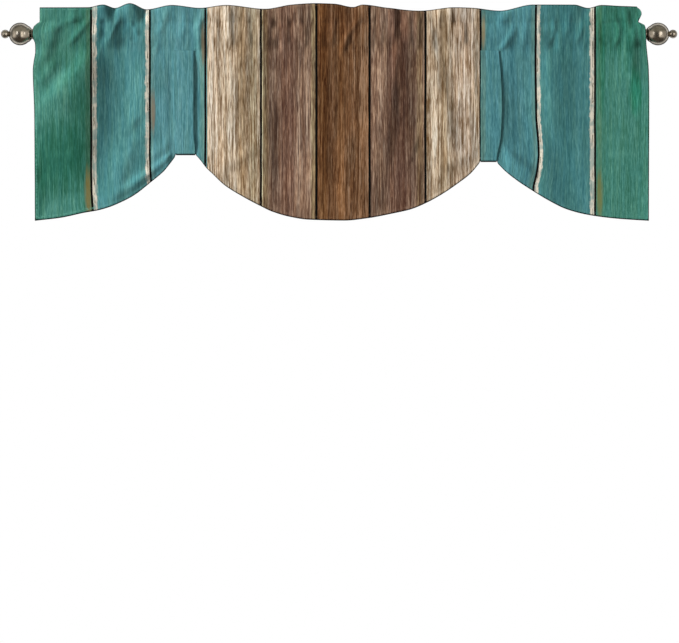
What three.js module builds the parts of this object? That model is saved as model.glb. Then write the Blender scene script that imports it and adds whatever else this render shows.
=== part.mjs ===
// Tie-up valance on a curtain rod. Millimetres, +Z up, the rod along X, the front towards -Y.
// The origin is on the rod's axis, half way between the two finials.

import * as THREE from 'three';

// Rod and finials
const ROD_DIAMETER = 19;
const BALL_DIAMETER = 50;
const BEAD_DIAMETER = 19;
const NECK_DIAMETER = 23;
const BALL_OFFSET = 701.5;
const BEAD_SPACING = 33;
const SOCKET_DEPTH = 16;
const NECK_END = 39;
const ROUND_STEPS = 28;

// Cloth
const CLOTH = 1.6;
const STRAP = 1.4;
const GAP = 0.4;
const LAYER = CLOTH + 0.7;

// Heights above the rod's axis
const HEADER_SEAM = 26;
const POCKET_SEAM = -35;
const POCKET_EDGE = -39;
const HEM = -411.5;
const LEFT_TIE_HEM = -267;
const RIGHT_TIE_HEM = -282;

// Places along the rod
const LEFT_END = -669;
const RIGHT_END = 681;
const END_REACH = 45;

// Turned-up cloth behind the hem
const HEM_ALLOWANCE = 12;
const TIGHT_TURN = 1.15;
const SOFT_TURN = 3.5;

// Soft shapes
const HEADER_PUFF = 1.2;
const POCKET_FLAT = 5;
const POCKET_LOOSE = 2;
const POCKET_EASE = 0.5;
const SEAM_FORWARD = 5;
const SEAM_DENT = 12;
const MOUTH_OPENING = 5;
const MOUTH_REACH = 40;
const LEFT_CURL = 1.5;
const RIGHT_CURL = -2.5;
const CURL_REACH = 26;
const CURL_START = 120;
const STRAP_PRESS_REACH = 16;
const FLAP_EASE = 0.9;

// Ties: the edges at the top, and at the foot under the raised hem; the hem's height there; and how
// far the right edge bows out half way down
const TIES = [
  {
    name: 'tie_left', left: -363, right: -320, footLeft: -358.5, footRight: -316.5,
    hem: LEFT_TIE_HEM, bow: 0,
  },
  {
    name: 'tie_right', left: 311, right: 351, footLeft: 311, footRight: 346.5,
    hem: RIGHT_TIE_HEM, bow: 7.5,
  },
];
// How far down a tie, as a share, its edges start to move over to the foot
const FOOT_START = 0.78;
// Beside a foot the hem is raised as far as the first of these, and hangs free from the second
const HEM_RAISED = 0.7;
const HEM_FREE = 3.5;

// Visible lower edge of the cloth, from one tie or end to the next
const LEFT_DROP = [
  { x: LEFT_END, z: HEM },
  { x: -613, z: -405 },
  { x: -561, z: -394 },
  { x: -530, z: -388.5 },
  { x: -504, z: -381 },
  { x: -478, z: -370 },
  { x: -451, z: -355.5 },
  { x: -412, z: -325 },
  { x: -385, z: -302 },
  { x: -372, z: -286 },
  { x: TIES[0].footLeft - HEM_FREE, z: LEFT_TIE_HEM - 5.5 },
];
const MIDDLE_DROP = [
  { x: TIES[0].footRight + HEM_FREE, z: LEFT_TIE_HEM - 2 },
  { x: -305, z: -278 },
  { x: -292, z: -295 },
  { x: -278.5, z: -308 },
  { x: -252, z: -333 },
  { x: -212.5, z: -358 },
  { x: -173, z: -379 },
  { x: -146.5, z: -391.5 },
  { x: -107, z: -403 },
  { x: -67, z: -409 },
  { x: 12, z: -411 },
  { x: 65, z: -405.5 },
  { x: 117.5, z: -395.5 },
  { x: 157, z: -386.5 },
  { x: 183.5, z: -376 },
  { x: 223, z: -355 },
  { x: 263, z: -328 },
  { x: 289, z: -307.5 },
  { x: TIES[1].footLeft - HEM_FREE, z: RIGHT_TIE_HEM - 4 },
];
const RIGHT_DROP = [
  { x: TIES[1].footRight + HEM_FREE, z: RIGHT_TIE_HEM - 4.5 },
  { x: 368, z: -304.5 },
  { x: 395, z: -325.5 },
  { x: 421, z: -342.5 },
  { x: 461, z: -367 },
  { x: 500, z: -386 },
  { x: 540, z: -397 },
  { x: 580, z: -403.5 },
  { x: 619, z: -407.5 },
  { x: RIGHT_END, z: HEM },
];

// Top edge of the ruffle: its crests and dips, and how far each leans to the front
const RUFFLE = [
  { x: -669, z: 58, lean: 1 },
  { x: -552, z: 58.5, lean: -3 },
  { x: -519, z: 64, lean: 5 },
  { x: -493, z: 57, lean: -4 },
  { x: -460, z: 67, lean: 6 },
  { x: -423, z: 54, lean: -6 },
  { x: -368, z: 63, lean: 4 },
  { x: -306, z: 57, lean: -3 },
  { x: -249, z: 63, lean: 5 },
  { x: -163, z: 55, lean: -5 },
  { x: -104, z: 64, lean: 3 },
  { x: -53, z: 67, lean: 5 },
  { x: -11, z: 66, lean: 1 },
  { x: 31, z: 59, lean: -5 },
  { x: 52, z: 64, lean: 3 },
  { x: 108, z: 57, lean: -2 },
  { x: 178, z: 51, lean: -7 },
  { x: 255, z: 58, lean: 4 },
  { x: 292, z: 57, lean: 2 },
  { x: 354, z: 51, lean: -6 },
  { x: 427, z: 64, lean: 4 },
  { x: 517, z: 64, lean: 1 },
  { x: 548, z: 57, lean: -5 },
  { x: 577, z: 63, lean: 4 },
  { x: 620, z: 61, lean: 1 },
  { x: 681, z: 59.5, lean: -4 },
];

// How far each end of the cloth lies from its nominal end, by height
const LEFT_EDGE = [
  { z: -409, shift: 0 },
  { z: -174, shift: -1.5 },
  { z: -79, shift: -4.5 },
  { z: -60, shift: -2.5 },
  { z: -39, shift: 1 },
  { z: -21, shift: 0.5 },
  { z: -11, shift: -3.5 },
  { z: 0, shift: -5 },
  { z: 14, shift: -3 },
  { z: 22, shift: 4 },
  { z: 27, shift: 10.5 },
  { z: 70, shift: 10.5 },
];
const RIGHT_EDGE = [
  { z: -409, shift: 0 },
  { z: -134, shift: 1 },
  { z: -79, shift: 0 },
  { z: -40, shift: -3.5 },
  { z: -15, shift: -6 },
  { z: 14, shift: -7.5 },
  { z: 21, shift: -11 },
  { z: 26, shift: -23 },
  { z: 45, shift: -15.5 },
  { z: 52, shift: -18 },
  { z: 60, shift: -26.5 },
  { z: 70, shift: -27 },
];

// Folds of the front: each is a soft ridge, or a trough where its height is below zero, along a
// line from its start downwards or to the left. It has a near and a far width, one for each side of
// the line, and a bend of the line at its middle.
const FOLDS = [
  { x0: -524, z0: -29, x1: -665, z1: -179, near: 16, far: 50, height: 10.5, bend: 0 },
  { x0: -614, z0: 40, x1: -658, z1: -75, near: 16, far: 12, height: 5, bend: 0 },
  { x0: -491, z0: 0, x1: -530, z1: -343, near: 42, far: 30, height: -11, bend: 18 },
  { x0: -442, z0: -4, x1: -495, z1: -330, near: 22, far: 40, height: 6, bend: 32 },
  { x0: -456, z0: -224, x1: -508, z1: -400, near: 28, far: 18, height: 6, bend: 0 },
  { x0: -354, z0: -232, x1: -425, z1: -271, near: 14, far: 12, height: 2.8, bend: 0 },
  { x0: -403, z0: -302, x1: -530, z1: -368, near: 12, far: 16, height: 5, bend: 6 },
  { x0: -218, z0: -9, x1: -218, z1: -180, near: 45, far: 26, height: 5.5, bend: 0 },
  { x0: -170, z0: -242, x1: -280, z1: -308, near: 16, far: 14, height: 4.5, bend: 0 },
  { x0: -128, z0: -119, x1: -132, z1: -365, near: 16, far: 30, height: -6, bend: 0 },
  { x0: -49, z0: -13, x1: -42, z1: -436, near: 32, far: 22, height: 6.5, bend: 0 },
  { x0: 15, z0: -189, x1: 9, z1: -400, near: 22, far: 20, height: 4, bend: 0 },
  { x0: 127, z0: 31, x1: 97, z1: -343, near: 45, far: 15, height: 9.5, bend: 0 },
  { x0: 171, z0: 9, x1: 171, z1: -255, near: 26, far: 12, height: -5, bend: 0 },
  { x0: 213, z0: -13, x1: 248, z1: -295, near: 26, far: 14, height: 5.5, bend: 0 },
  { x0: 297, z0: -4, x1: 297, z1: -167, near: 30, far: 15, height: 4, bend: 0 },
  { x0: 314, z0: -251, x1: 200, z1: -304, near: 14, far: 16, height: 5, bend: 0 },
  { x0: 402, z0: -44, x1: 402, z1: -286, near: 34, far: 25, height: -5, bend: 0 },
  { x0: 345, z0: -246, x1: 442, z1: -321, near: 24, far: 12, height: 6.5, bend: 0 },
  { x0: 466, z0: 0, x1: 471, z1: -260, near: 16, far: 50, height: 6, bend: 0 },
  { x0: 455, z0: -224, x1: 455, z1: -409, near: 14, far: 26, height: 4, bend: 0 },
  { x0: 640, z0: 26, x1: 647, z1: -128, near: 18, far: 14, height: 4, bend: 0 },
];
const FOLD_TAPER = 0.3;

// Cells of the cloth between fixed places along it, and rows of its section
const COLUMNS = [
  { to: TIES[0].footLeft - HEM_FREE, cells: 16 },
  { to: TIES[0].footLeft - HEM_RAISED, cells: 1 },
  { to: TIES[0].footRight + HEM_RAISED, cells: 2 },
  { to: TIES[0].footRight + HEM_FREE, cells: 1 },
  { to: TIES[1].footLeft - HEM_FREE, cells: 31 },
  { to: TIES[1].footLeft - HEM_RAISED, cells: 1 },
  { to: TIES[1].footRight + HEM_RAISED, cells: 2 },
  { to: TIES[1].footRight + HEM_FREE, cells: 1 },
  { to: TIES[1].right + TIES[1].bow + GAP, cells: 1 },
  { to: RIGHT_END, cells: 16 },
];
const POCKET_ROWS = [-24, -13, -POCKET_FLAT, POCKET_FLAT, 14];
const HEADER_SHARES = [0.33, 0.66, 0.92];
const DROP_TOP = POCKET_EDGE - 3;
const DROP_SHARES = [0, 0.12, 0.25, 0.38, 0.51, 0.64, 0.77, 0.9, 1];
const TURN_ANGLES = [Math.PI / 4, Math.PI / 2, (3 * Math.PI) / 4];
const FLAP_SHARES = [0, 0.3, 0.65, 1];

const clamp = (value, low, high) => Math.min(high, Math.max(low, value));
const smoothStep = (value) => clamp(value, 0, 1) ** 2 * (3 - 2 * clamp(value, 0, 1));

// A smooth curve through a table's rows, flat at each crest and dip
function curveThrough(rows, from, to) {
  const rise = (i) => (rows[i + 1][to] - rows[i][to]) / (rows[i + 1][from] - rows[i][from]);
  const slopes = rows.map((row, i) => {
    if (i === 0) return rise(0);
    if (i === rows.length - 1) return rise(i - 1);
    const before = rise(i - 1);
    const after = rise(i);
    return before * after > 0 ? (2 * before * after) / (before + after) : 0;
  });
  return (at) => {
    const inside = clamp(at, rows[0][from], rows.at(-1)[from]);
    const next = rows.findIndex((row, i) => i > 0 && inside <= row[from]);
    const start = rows[next - 1];
    const end = rows[next];
    const span = end[from] - start[from];
    const t = (inside - start[from]) / span;
    const bend = 3 * t * t - 2 * t ** 3;
    return start[to] * (1 - bend) + end[to] * bend
      + span * slopes[next - 1] * t * (1 - t) ** 2
      - span * slopes[next] * t * t * (1 - t);
  };
}

const topEdge = curveThrough(RUFFLE, 'x', 'z');
const topLean = curveThrough(RUFFLE, 'x', 'lean');
const leftShift = curveThrough(LEFT_EDGE, 'z', 'shift');
const rightShift = curveThrough(RIGHT_EDGE, 'z', 'shift');
const leftDrop = curveThrough(LEFT_DROP, 'x', 'z');
const middleDrop = curveThrough(MIDDLE_DROP, 'x', 'z');
const rightDrop = curveThrough(RIGHT_DROP, 'x', 'z');

// Lowest point of the cloth's own fold at a place along the rod
function lowerEdge(x) {
  const raised = (tie) => x > tie.footLeft - HEM_FREE && x < tie.footRight + HEM_FREE;
  const tie = TIES.find(raised);
  if (tie) return tie.hem + STRAP + GAP;
  if (x < TIES[0].footLeft) return leftDrop(x);
  return x < TIES[1].footLeft ? middleDrop(x) : rightDrop(x);
}

// 0 under a tie, which presses the cloth flat, and 1 away from it
function freeOfTies(x) {
  const away = TIES.map((tie) => {
    const right = Math.max(tie.right + tie.bow, tie.footRight);
    return Math.max(tie.left - x, x - right) / STRAP_PRESS_REACH;
  });
  return smoothStep(Math.min(...away));
}

// How far the folds stand in front of the plain cloth
function relief(x, z) {
  let sum = 0;
  for (const fold of FOLDS) {
    const runX = fold.x1 - fold.x0;
    const runZ = fold.z1 - fold.z0;
    const length = Math.hypot(runX, runZ);
    const share = ((x - fold.x0) * runX + (z - fold.z0) * runZ) / length ** 2;
    const taper = smoothStep(share / FOLD_TAPER) * smoothStep((1 - share) / FOLD_TAPER);
    const bend = fold.bend * 4 * share * (1 - share);
    const away = ((z - fold.z0) * runX - (x - fold.x0) * runZ) / length - bend;
    sum += fold.height * taper * Math.exp(-((away / (away < 0 ? fold.near : fold.far)) ** 2));
  }
  return sum;
}

const fromEnd = (x) => Math.min(x - LEFT_END, RIGHT_END - x);
const mouth = (x) => MOUTH_OPENING * clamp(1 - fromEnd(x) / MOUTH_REACH, 0, 1) ** 2;
const endShare = (distance) => clamp(1 - distance / CURL_REACH, 0, 1) ** 2;
const curl = (x) => LEFT_CURL * endShare(x - LEFT_END) + RIGHT_CURL * endShare(RIGHT_END - x);

// The pocket's shape over the rod, from the rod's side to each seam
const POCKET_DEPTH = ROD_DIAMETER / 2 + GAP + CLOTH / 2;
const FRONT_SEAM_DEPTH = LAYER / 2 + SEAM_FORWARD;
function tent(z, atRod, atSeam) {
  const seam = z > 0 ? HEADER_SEAM : -POCKET_SEAM;
  const share = clamp((Math.abs(z) - POCKET_FLAT) / (seam - POCKET_FLAT), 0, 1);
  const eased = share - (POCKET_EASE * Math.sin(2 * Math.PI * share)) / (2 * Math.PI);
  return THREE.MathUtils.lerp(atRod, atSeam, eased);
}

// Distance of the front layer's middle in front of the rod's axis
function frontDepth(x, z) {
  const folds = relief(x, z) * (z > POCKET_SEAM ? 1 : freeOfTies(x));
  if (z >= HEADER_SEAM) {
    const share = clamp((z - HEADER_SEAM) / (topEdge(x) - HEADER_SEAM), 0, 1);
    const puff = HEADER_PUFF * Math.sin(Math.PI * share);
    return FRONT_SEAM_DEPTH + puff + topLean(x) * share + folds - curl(x);
  }
  if (z >= POCKET_SEAM) {
    const open = 1 - smoothStep((Math.abs(z) - POCKET_FLAT) / (-POCKET_SEAM - POCKET_FLAT));
    const touching = tent(z, POCKET_DEPTH, FRONT_SEAM_DEPTH) + mouth(x) * open;
    const loose = tent(z, POCKET_DEPTH + POCKET_LOOSE, FRONT_SEAM_DEPTH) + mouth(x) * open;
    return Math.max(loose + folds, touching - SEAM_DENT * (1 - open));
  }
  const hang = smoothStep((POCKET_SEAM - z) / CURL_START);
  return FRONT_SEAM_DEPTH + folds - curl(x) * hang;
}

// Distance of the back layer's middle behind the rod's axis, in the pocket and header
function backDepth(x, z) {
  if (z >= HEADER_SEAM) {
    const share = clamp((z - HEADER_SEAM) / (topEdge(x) - HEADER_SEAM), 0, 1);
    return LAYER + 2 * HEADER_PUFF * Math.sin(Math.PI * share) - frontDepth(x, z);
  }
  if (z <= POCKET_SEAM) return LAYER - frontDepth(x, z);
  const seam = z > 0 ? HEADER_SEAM : POCKET_SEAM;
  const share = clamp((Math.abs(z) - POCKET_FLAT) / (Math.abs(seam) - POCKET_FLAT), 0, 1);
  const seamShift = LAYER / 2 - frontDepth(x, seam);
  return tent(z, POCKET_DEPTH, LAYER / 2) + mouth(x) * (1 - share) + seamShift * share;
}

// A point of the cloth, with the ends drawn in or out as they hang
function clothPoint(x, depth, z) {
  const left = leftShift(z) * clamp(1 - (x - LEFT_END) / END_REACH, 0, 1) ** 2;
  const right = rightShift(z) * clamp(1 - (RIGHT_END - x) / END_REACH, 0, 1) ** 2;
  return new THREE.Vector3(x + left + right, -depth, z);
}

// Radius of the turn at the lower edge: tight where the hem hangs free, soft where it is raised
function turnRadius(x) {
  return THREE.MathUtils.lerp(TIGHT_TURN, SOFT_TURN, (lowerEdge(x) - HEM) / (LEFT_TIE_HEM - HEM));
}

// The turned-up cloth behind: how high it reaches, and how far it stands behind the front layer
const flapTop = (x) => 2 * lowerEdge(x) - HEM + HEM_ALLOWANCE;
function flapBehind(x, share) {
  const radius = turnRadius(x);
  return THREE.MathUtils.lerp(2 * radius, LAYER + FLAP_EASE * radius, share);
}

// Depth of the front layer at a height between two of its rows, which run downwards
function depthBetween(heights, depths, z) {
  const next = Math.max(1, heights.findIndex((height) => height <= z));
  const share = (z - heights[next - 1]) / (heights[next] - heights[next - 1]);
  return THREE.MathUtils.lerp(depths[next - 1], depths[next], share);
}

// One column of the cloth: up the pocket's back, over the header and down the front to the hem,
// then round the turn and up behind
function clothColumn(x) {
  const top = topEdge(x);
  const turn = turnRadius(x);
  const turnHeight = lowerEdge(x) + CLOTH / 2 + turn;
  const headerRows = HEADER_SHARES.map((share) => HEADER_SEAM + share * (top - HEADER_SEAM));
  const back = [POCKET_EDGE, POCKET_SEAM, ...POCKET_ROWS, HEADER_SEAM, ...headerRows];
  const front = [...headerRows.toReversed(), HEADER_SEAM, ...POCKET_ROWS.toReversed(), POCKET_SEAM];
  const drop = DROP_SHARES.map((share) => THREE.MathUtils.lerp(DROP_TOP, turnHeight, share));
  const dropDepths = drop.map((z) => frontDepth(x, z));
  const turnDepth = dropDepths.at(-1) - turn;
  return [
    ...back.map((z) => clothPoint(x, -backDepth(x, z), z)),
    clothPoint(x, frontDepth(x, top) - LAYER / 2, top),
    ...front.map((z) => clothPoint(x, frontDepth(x, z), z)),
    ...drop.map((z, i) => clothPoint(x, dropDepths[i], z)),
    ...TURN_ANGLES.map((angle) => clothPoint(
      x,
      turnDepth + turn * Math.cos(angle),
      turnHeight - turn * Math.sin(angle),
    )),
    ...FLAP_SHARES.map((share) => {
      const z = THREE.MathUtils.lerp(turnHeight, flapTop(x), share);
      return clothPoint(x, depthBetween(drop, dropDepths, z) - flapBehind(x, share), z);
    }),
  ];
}

// A closed solid of even thickness about a grid of points
function sheetSolid(grid, thickness) {
  const columns = grid.length;
  const rows = grid[0].length;
  const direction = (from, to) => to.clone().sub(from).normalize();
  const along = (before, at, after) => {
    const way = new THREE.Vector3();
    if (before) way.add(direction(before, at));
    if (after) way.add(direction(at, after));
    return way;
  };
  const positions = [];
  for (const side of [0.5, -0.5]) {
    for (let i = 0; i < columns; i += 1) {
      for (let j = 0; j < rows; j += 1) {
        const across = along(grid[i - 1]?.[j], grid[i][j], grid[i + 1]?.[j]);
        const down = along(grid[i][j - 1], grid[i][j], grid[i][j + 1]);
        const outward = across.cross(down).normalize();
        positions.push(...grid[i][j].clone().addScaledVector(outward, side * thickness).toArray());
      }
    }
  }
  const index = [];
  const point = (i, j, side) => side * columns * rows + i * rows + j;
  const quad = (a, b, c, d) => index.push(a, b, c, a, c, d);
  for (let i = 0; i < columns - 1; i += 1) {
    for (let j = 0; j < rows - 1; j += 1) {
      quad(point(i, j, 0), point(i + 1, j, 0), point(i + 1, j + 1, 0), point(i, j + 1, 0));
      quad(point(i, j, 1), point(i, j + 1, 1), point(i + 1, j + 1, 1), point(i + 1, j, 1));
    }
  }
  for (let i = 0; i < columns - 1; i += 1) {
    quad(point(i, 0, 0), point(i, 0, 1), point(i + 1, 0, 1), point(i + 1, 0, 0));
    const last = rows - 1;
    quad(point(i, last, 0), point(i + 1, last, 0), point(i + 1, last, 1), point(i, last, 1));
  }
  for (let j = 0; j < rows - 1; j += 1) {
    quad(point(0, j, 0), point(0, j + 1, 0), point(0, j + 1, 1), point(0, j, 1));
    const last = columns - 1;
    quad(point(last, j, 0), point(last, j, 1), point(last, j + 1, 1), point(last, j + 1, 0));
  }
  const geometry = new THREE.BufferGeometry();
  geometry.setAttribute('position', new THREE.Float32BufferAttribute(positions, 3));
  geometry.setIndex(index);
  geometry.computeVertexNormals();
  return geometry;
}

function valanceGeometry() {
  const places = [LEFT_END];
  for (const { to, cells } of COLUMNS) {
    const from = places.at(-1);
    for (let i = 1; i <= cells; i += 1) places.push(THREE.MathUtils.lerp(from, to, i / cells));
  }
  return sheetSolid(places.map(clothColumn), CLOTH);
}

// A tie: down the front from the pocket seam, under the raised hem and up behind to the seam
const TIE_CLEAR = CLOTH / 2 + GAP + STRAP / 2;
const TIE_TOP = POCKET_SEAM - 1.5;
const TIE_BACK_TOP = -27;
const TIE_STEPS = 9;
const TIE_LEAVES_FLAP = 16;
const TIE_PANEL_ROWS = [-64, -46];
const TIE_BACK_ROWS = [POCKET_EDGE - 1.5, POCKET_SEAM, -31, TIE_BACK_TOP];
const TIE_BACK_CLEAR = TIE_CLEAR + 0.6;
function tieGeometry(tie) {
  const middle = (tie.left + tie.right) / 2;
  const cloth = turnRadius(middle);
  const turnHeight = lowerEdge(middle) + CLOTH / 2 + cloth;
  const radius = cloth + TIE_CLEAR;
  const centre = frontDepth(middle, turnHeight) - cloth;
  const path = [];
  for (let i = 0; i <= TIE_STEPS; i += 1) {
    const z = THREE.MathUtils.lerp(TIE_TOP, turnHeight, i / TIE_STEPS);
    path.push({ depth: frontDepth(middle, z) + TIE_CLEAR, z });
  }
  for (let i = 1; i < TIE_STEPS; i += 1) {
    const angle = (Math.PI * i) / TIE_STEPS;
    path.push({ depth: centre + radius * Math.cos(angle), z: turnHeight - radius * Math.sin(angle) });
  }
  const top = flapTop(middle);
  for (let i = 0; i < TIE_STEPS; i += 1) {
    const share = i / (TIE_STEPS - 1);
    const z = THREE.MathUtils.lerp(turnHeight, top + 1, share);
    path.push({ depth: frontDepth(middle, z) - flapBehind(middle, share) - TIE_CLEAR, z });
  }
  for (const z of [top + TIE_LEAVES_FLAP, ...TIE_PANEL_ROWS]) {
    path.push({ depth: frontDepth(middle, z) - TIE_CLEAR, z });
  }
  for (const z of TIE_BACK_ROWS) {
    path.push({ depth: -backDepth(middle, Math.max(z, POCKET_SEAM)) - TIE_BACK_CLEAR, z });
  }
  const down = (z) => clamp((TIE_TOP - z) / (TIE_TOP - turnHeight), 0, 1);
  const foot = (z) => smoothStep((down(z) - FOOT_START) / (1 - FOOT_START));
  const leftEdge = (z) => THREE.MathUtils.lerp(tie.left, tie.footLeft, foot(z));
  const rightEdge = (z) => (
    THREE.MathUtils.lerp(tie.right, tie.footRight, foot(z)) + tie.bow * Math.sin(Math.PI * down(z))
  );
  const grid = [0, 0.5, 1].map((share) => path.map(({ depth, z }) => (
    new THREE.Vector3(THREE.MathUtils.lerp(leftEdge(z), rightEdge(z), share), -depth, z)
  )));
  return sheetSolid(grid, STRAP);
}

function rodGeometry() {
  const length = 2 * (BALL_OFFSET - NECK_END + SOCKET_DEPTH - GAP);
  return new THREE.CylinderGeometry(ROD_DIAMETER / 2, ROD_DIAMETER / 2, length, ROUND_STEPS);
}

// An arc of a profile about a centre on the axis, from one angle to another, in degrees
function profileArc(centre, radius, from, to, steps) {
  const points = [];
  for (let i = 0; i <= steps; i += 1) {
    const angle = THREE.MathUtils.degToRad(THREE.MathUtils.lerp(from, to, i / steps));
    points.push(new THREE.Vector2(radius * Math.sin(angle), centre + radius * Math.cos(angle)));
  }
  return points;
}

// Half section of a finial: radius and height above the ball's centre, from the bead's tip to the
// socket. The collar's last rows are measured from the neck's radius.
const WAIST = { radius: 5.5, height: 24.9 };
const COLLAR = [
  { radius: 17.2, height: -18.4 },
  { radius: 17.2, height: -19.6 },
];
const NECK = [
  { wider: 1.4, height: -24.4 },
  { wider: -0.8, height: -25.4 },
  { wider: -0.8, height: -26.4 },
  { wider: 0, height: -27.2 },
  { wider: 0, height: -31.2 },
  { wider: -0.9, height: -32 },
  { wider: -0.9, height: -32.8 },
  { wider: 0, height: -33.6 },
  { wider: 0, height: 0.8 - NECK_END },
  { wider: -0.8, height: -NECK_END },
];
function finialProfile() {
  const socket = ROD_DIAMETER / 2 + GAP;
  const point = (radius, height) => new THREE.Vector2(radius, height);
  return [
    point(0, BEAD_SPACING + BEAD_DIAMETER / 2),
    ...profileArc(BEAD_SPACING, BEAD_DIAMETER / 2, 22, 142, 6),
    point(WAIST.radius, WAIST.height),
    ...profileArc(0, BALL_DIAMETER / 2, 18, 132, 12),
    ...COLLAR.map(({ radius, height }) => point(radius, height)),
    ...NECK.map(({ wider, height }) => point(NECK_DIAMETER / 2 + wider, height)),
    point(socket, -NECK_END),
    point(socket, -NECK_END + SOCKET_DEPTH),
    point(0, -NECK_END + SOCKET_DEPTH),
  ].reverse();
}

function named(name, geometry, material) {
  const mesh = new THREE.Mesh(geometry, material);
  mesh.name = name;
  return mesh;
}

const clothMaterial = () => new THREE.MeshStandardMaterial({
  color: 0x5f9796,
  roughness: 0.8,
  metalness: 0,
  side: THREE.DoubleSide,
});
const metalMaterial = () => new THREE.MeshStandardMaterial({
  color: 0x8d867c,
  roughness: 0.3,
  metalness: 1,
});

const valance = new THREE.Group();
valance.add(named('valance', valanceGeometry(), clothMaterial()));
for (const tie of TIES) valance.add(named(tie.name, tieGeometry(tie), clothMaterial()));

const rod = named('rod', rodGeometry(), metalMaterial());
rod.rotation.z = Math.PI / 2;
valance.add(rod);

for (const side of [-1, 1]) {
  const geometry = new THREE.LatheGeometry(finialProfile(), ROUND_STEPS);
  const finial = named(side < 0 ? 'finial_left' : 'finial_right', geometry, metalMaterial());
  finial.rotation.z = (-side * Math.PI) / 2;
  finial.position.x = side * BALL_OFFSET;
  valance.add(finial);
}

export default valance;
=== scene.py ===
import math
from collections import namedtuple

import bpy
import numpy as np
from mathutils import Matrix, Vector, noise


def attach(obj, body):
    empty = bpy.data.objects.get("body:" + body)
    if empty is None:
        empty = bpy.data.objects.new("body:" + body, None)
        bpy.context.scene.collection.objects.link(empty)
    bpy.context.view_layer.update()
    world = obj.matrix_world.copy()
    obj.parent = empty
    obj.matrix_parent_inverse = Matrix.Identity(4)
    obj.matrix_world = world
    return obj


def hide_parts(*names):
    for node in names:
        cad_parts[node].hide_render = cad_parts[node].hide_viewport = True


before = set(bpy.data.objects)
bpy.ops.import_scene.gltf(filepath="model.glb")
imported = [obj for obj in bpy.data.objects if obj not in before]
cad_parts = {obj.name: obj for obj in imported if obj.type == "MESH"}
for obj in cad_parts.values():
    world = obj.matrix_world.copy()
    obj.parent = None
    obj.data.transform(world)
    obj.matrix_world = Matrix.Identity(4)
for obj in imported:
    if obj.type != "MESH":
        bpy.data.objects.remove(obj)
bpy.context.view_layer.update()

# All lengths below are in millimetres, and MM turns them into metres.
MM = 0.001

# Camera: level, far off, with the photograph's frame
PHOTO_WIDTH = 1493.8
CAMERA_AT = (0.9, -14000.0, -632.5)
SENSOR = 36.0

# Rod and finials
ROD_RADIUS = 9.5
BALL_RADIUS = 25.0
BEAD_RADIUS = 9.5
NECK_RADIUS = 11.5
BALL_OFFSET = 701.5
BEAD_SPACING = 33.0
SOCKET_DEPTH = 16.0
NECK_END = 39.0

# Cloth, as thin as the real one; its folds are those of its solid
CLOTH = 0.8
STRAP = 1.2
SOLID_CLOTH = 1.6
SOLID_STRAP = 1.4
GAP = 0.4
LAYER = 2.3

# Heights above the rod's axis
HEADER_SEAM = 26.0
POCKET_SEAM = -35.0
POCKET_EDGE = -39.0
HEM = -411.5
LEFT_TIE_HEM = -267.0
RIGHT_TIE_HEM = -282.0

# Places along the rod
LEFT_END = -669.0
RIGHT_END = 681.0
END_REACH = 45.0

HEM_ALLOWANCE = 12.0
SIDE_HEM = 11.0
TIGHT_TURN = 1.15
SOFT_TURN = 3.5
HEADER_PUFF = 1.2
POCKET_FLAT = 5.0
SEAM_DENT = 12.0
MOUTH_OPENING = 5.0
MOUTH_REACH = 40.0
SEAM_FORWARD = 5.0
POCKET_LOOSE = 2.0
POCKET_EASE = 0.5
LEFT_CURL = 1.5
RIGHT_CURL = -2.5
EDGE_CURL_REACH = 26.0
CURL_START = 120.0
STRAP_PRESS_REACH = 16.0
FOLD_TAPER = 0.3
# Hollows beside a tie: depths, then places past its edges with reaches, then heights
TIE_HOLLOWS = {"tie_left": -2.2, "tie_right": -0.6}
TIE_HOLLOW_LEFT = -0.7
RIGHT_HOLLOW = (5, 8, 24)
LEFT_HOLLOW = (8, 7)
HOLLOW_TOP = POCKET_SEAM - 6
HOLLOW_TAPER = 30
HEM_ROLL = 2.2
HEM_ROLL_HEIGHT = 9.0
# Soft unevenness: height, size across and down, seed
DRAPE = [(1.1, 70, 120, 3.1), (0.45, 26, 60, 7.7)]
SEAM_PUCKERS = (0.9, 9, 30, 11.3)
# Seams with puckers beside them: height, strength and reach
SEAMS = [(POCKET_SEAM, 1.0, 13), (HEADER_SEAM, 0.8, 9)]
SEAM_GROOVE = 0.25
GROOVE_REACH = 3
DRAPE_START = 60

# Ties: the edges at the top, and at the foot under the raised hem; the hem's height there; and how
# far the right edge bows out half way down
Tie = namedtuple("Tie", "name left right foot_left foot_right hem bow")
TIES = [
    Tie("tie_left", -363.0, -320.0, -358.5, -316.5, LEFT_TIE_HEM, 0.0),
    Tie("tie_right", 311.0, 351.0, 311.0, 346.5, RIGHT_TIE_HEM, 7.5),
]
# How far down a tie, as a share, its edges start to move over to the foot
FOOT_START = 0.78
# Beside a foot the hem is raised as far as the first of these, and hangs free from the second
HEM_RAISED = 0.7
HEM_FREE = 3.5

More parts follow.
